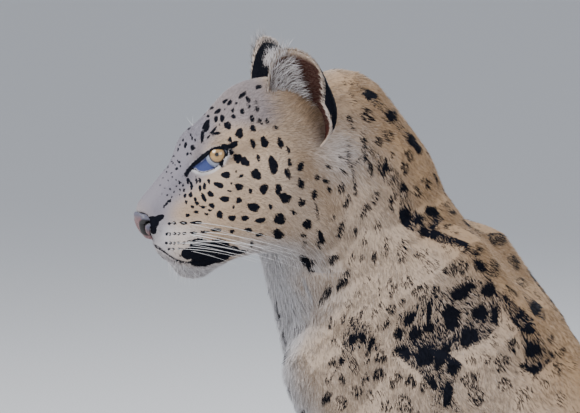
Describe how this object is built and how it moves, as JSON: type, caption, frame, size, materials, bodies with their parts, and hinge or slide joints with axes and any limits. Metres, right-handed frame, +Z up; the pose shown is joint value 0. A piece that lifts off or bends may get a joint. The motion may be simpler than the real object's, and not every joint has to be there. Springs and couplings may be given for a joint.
{
  "type": "sitting leopard",
  "caption": "Life-size adult male leopard sitting upright on the floor, head turned to its left and tail curled round its left side.",
  "frame": {"origin": "on the floor, under the centre of the animal's box", "axes": "+Z up; the body faces -X, its left side is on the -Y side, and the head is turned 32 degrees to its left"},
  "size_m": [0.788, 0.4406, 0.8719],
  "materials": {
    "coat": "short dense fur, tawny with black spots and rosettes, white below",
    "nose": "moist pebbled nose leather, dull pink and grey",
    "eye": "wet and glossy, amber iris"
  },
  "bodies": {
    "root": {"head": "coat", "neck": "coat", "chest": "coat", "loin": "coat", "rump": "coat", "shoulder_left": "coat", "shoulder_right": "coat", "forearm_left": "coat", "forearm_right": "coat", "forepaw_left": "coat", "forepaw_right": "coat", "thigh_left": "coat", "thigh_right": "coat", "hindfoot_left": "coat", "hindfoot_right": "coat", "hindpaw_left": "coat", "hindpaw_right": "coat", "ear_left": "coat", "ear_right": "coat", "tail_1": "coat", "tail_2": "coat", "tail_3": "coat", "tail_4": "coat", "tail_5": "coat", "nose": "nose", "eye_left": "eye", "eye_right": "eye"}
  },
  "joints": []
}
